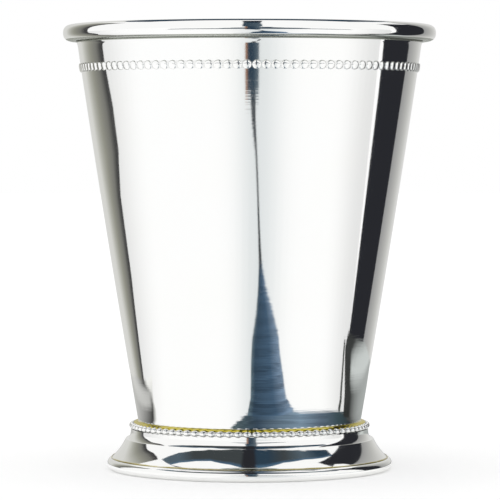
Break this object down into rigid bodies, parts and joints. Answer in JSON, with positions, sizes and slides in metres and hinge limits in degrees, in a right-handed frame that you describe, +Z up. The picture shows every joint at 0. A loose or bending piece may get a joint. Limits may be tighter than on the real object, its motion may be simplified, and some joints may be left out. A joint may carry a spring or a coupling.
{
  "type": "julep cup",
  "caption": "Tapered metal julep cup with a rolled rim, a beaded band below the rim and another above the foot, and a coved, hollow foot.",
  "frame": {"origin": "on the table, under the middle of the foot", "axes": "+Z up along the cup's axis; the cup is round, so +X and +Y are alike"},
  "size_m": [0.0906, 0.0906, 0.108],
  "materials": {
    "silver_plate": "polished silver plate outside, satin inside",
    "braze_brass": "bright braze metal, unplated"
  },
  "bodies": {
    "root": {"body_wall": "silver_plate", "cup_floor": "silver_plate", "upper_bead_band": "silver_plate", "lower_bead_band": "silver_plate", "foot_collar": "silver_plate", "foot_skirt": "silver_plate", "foot_ring": "silver_plate", "collar_seam": "braze_brass", "ring_seam": "braze_brass"}
  },
  "joints": []
}
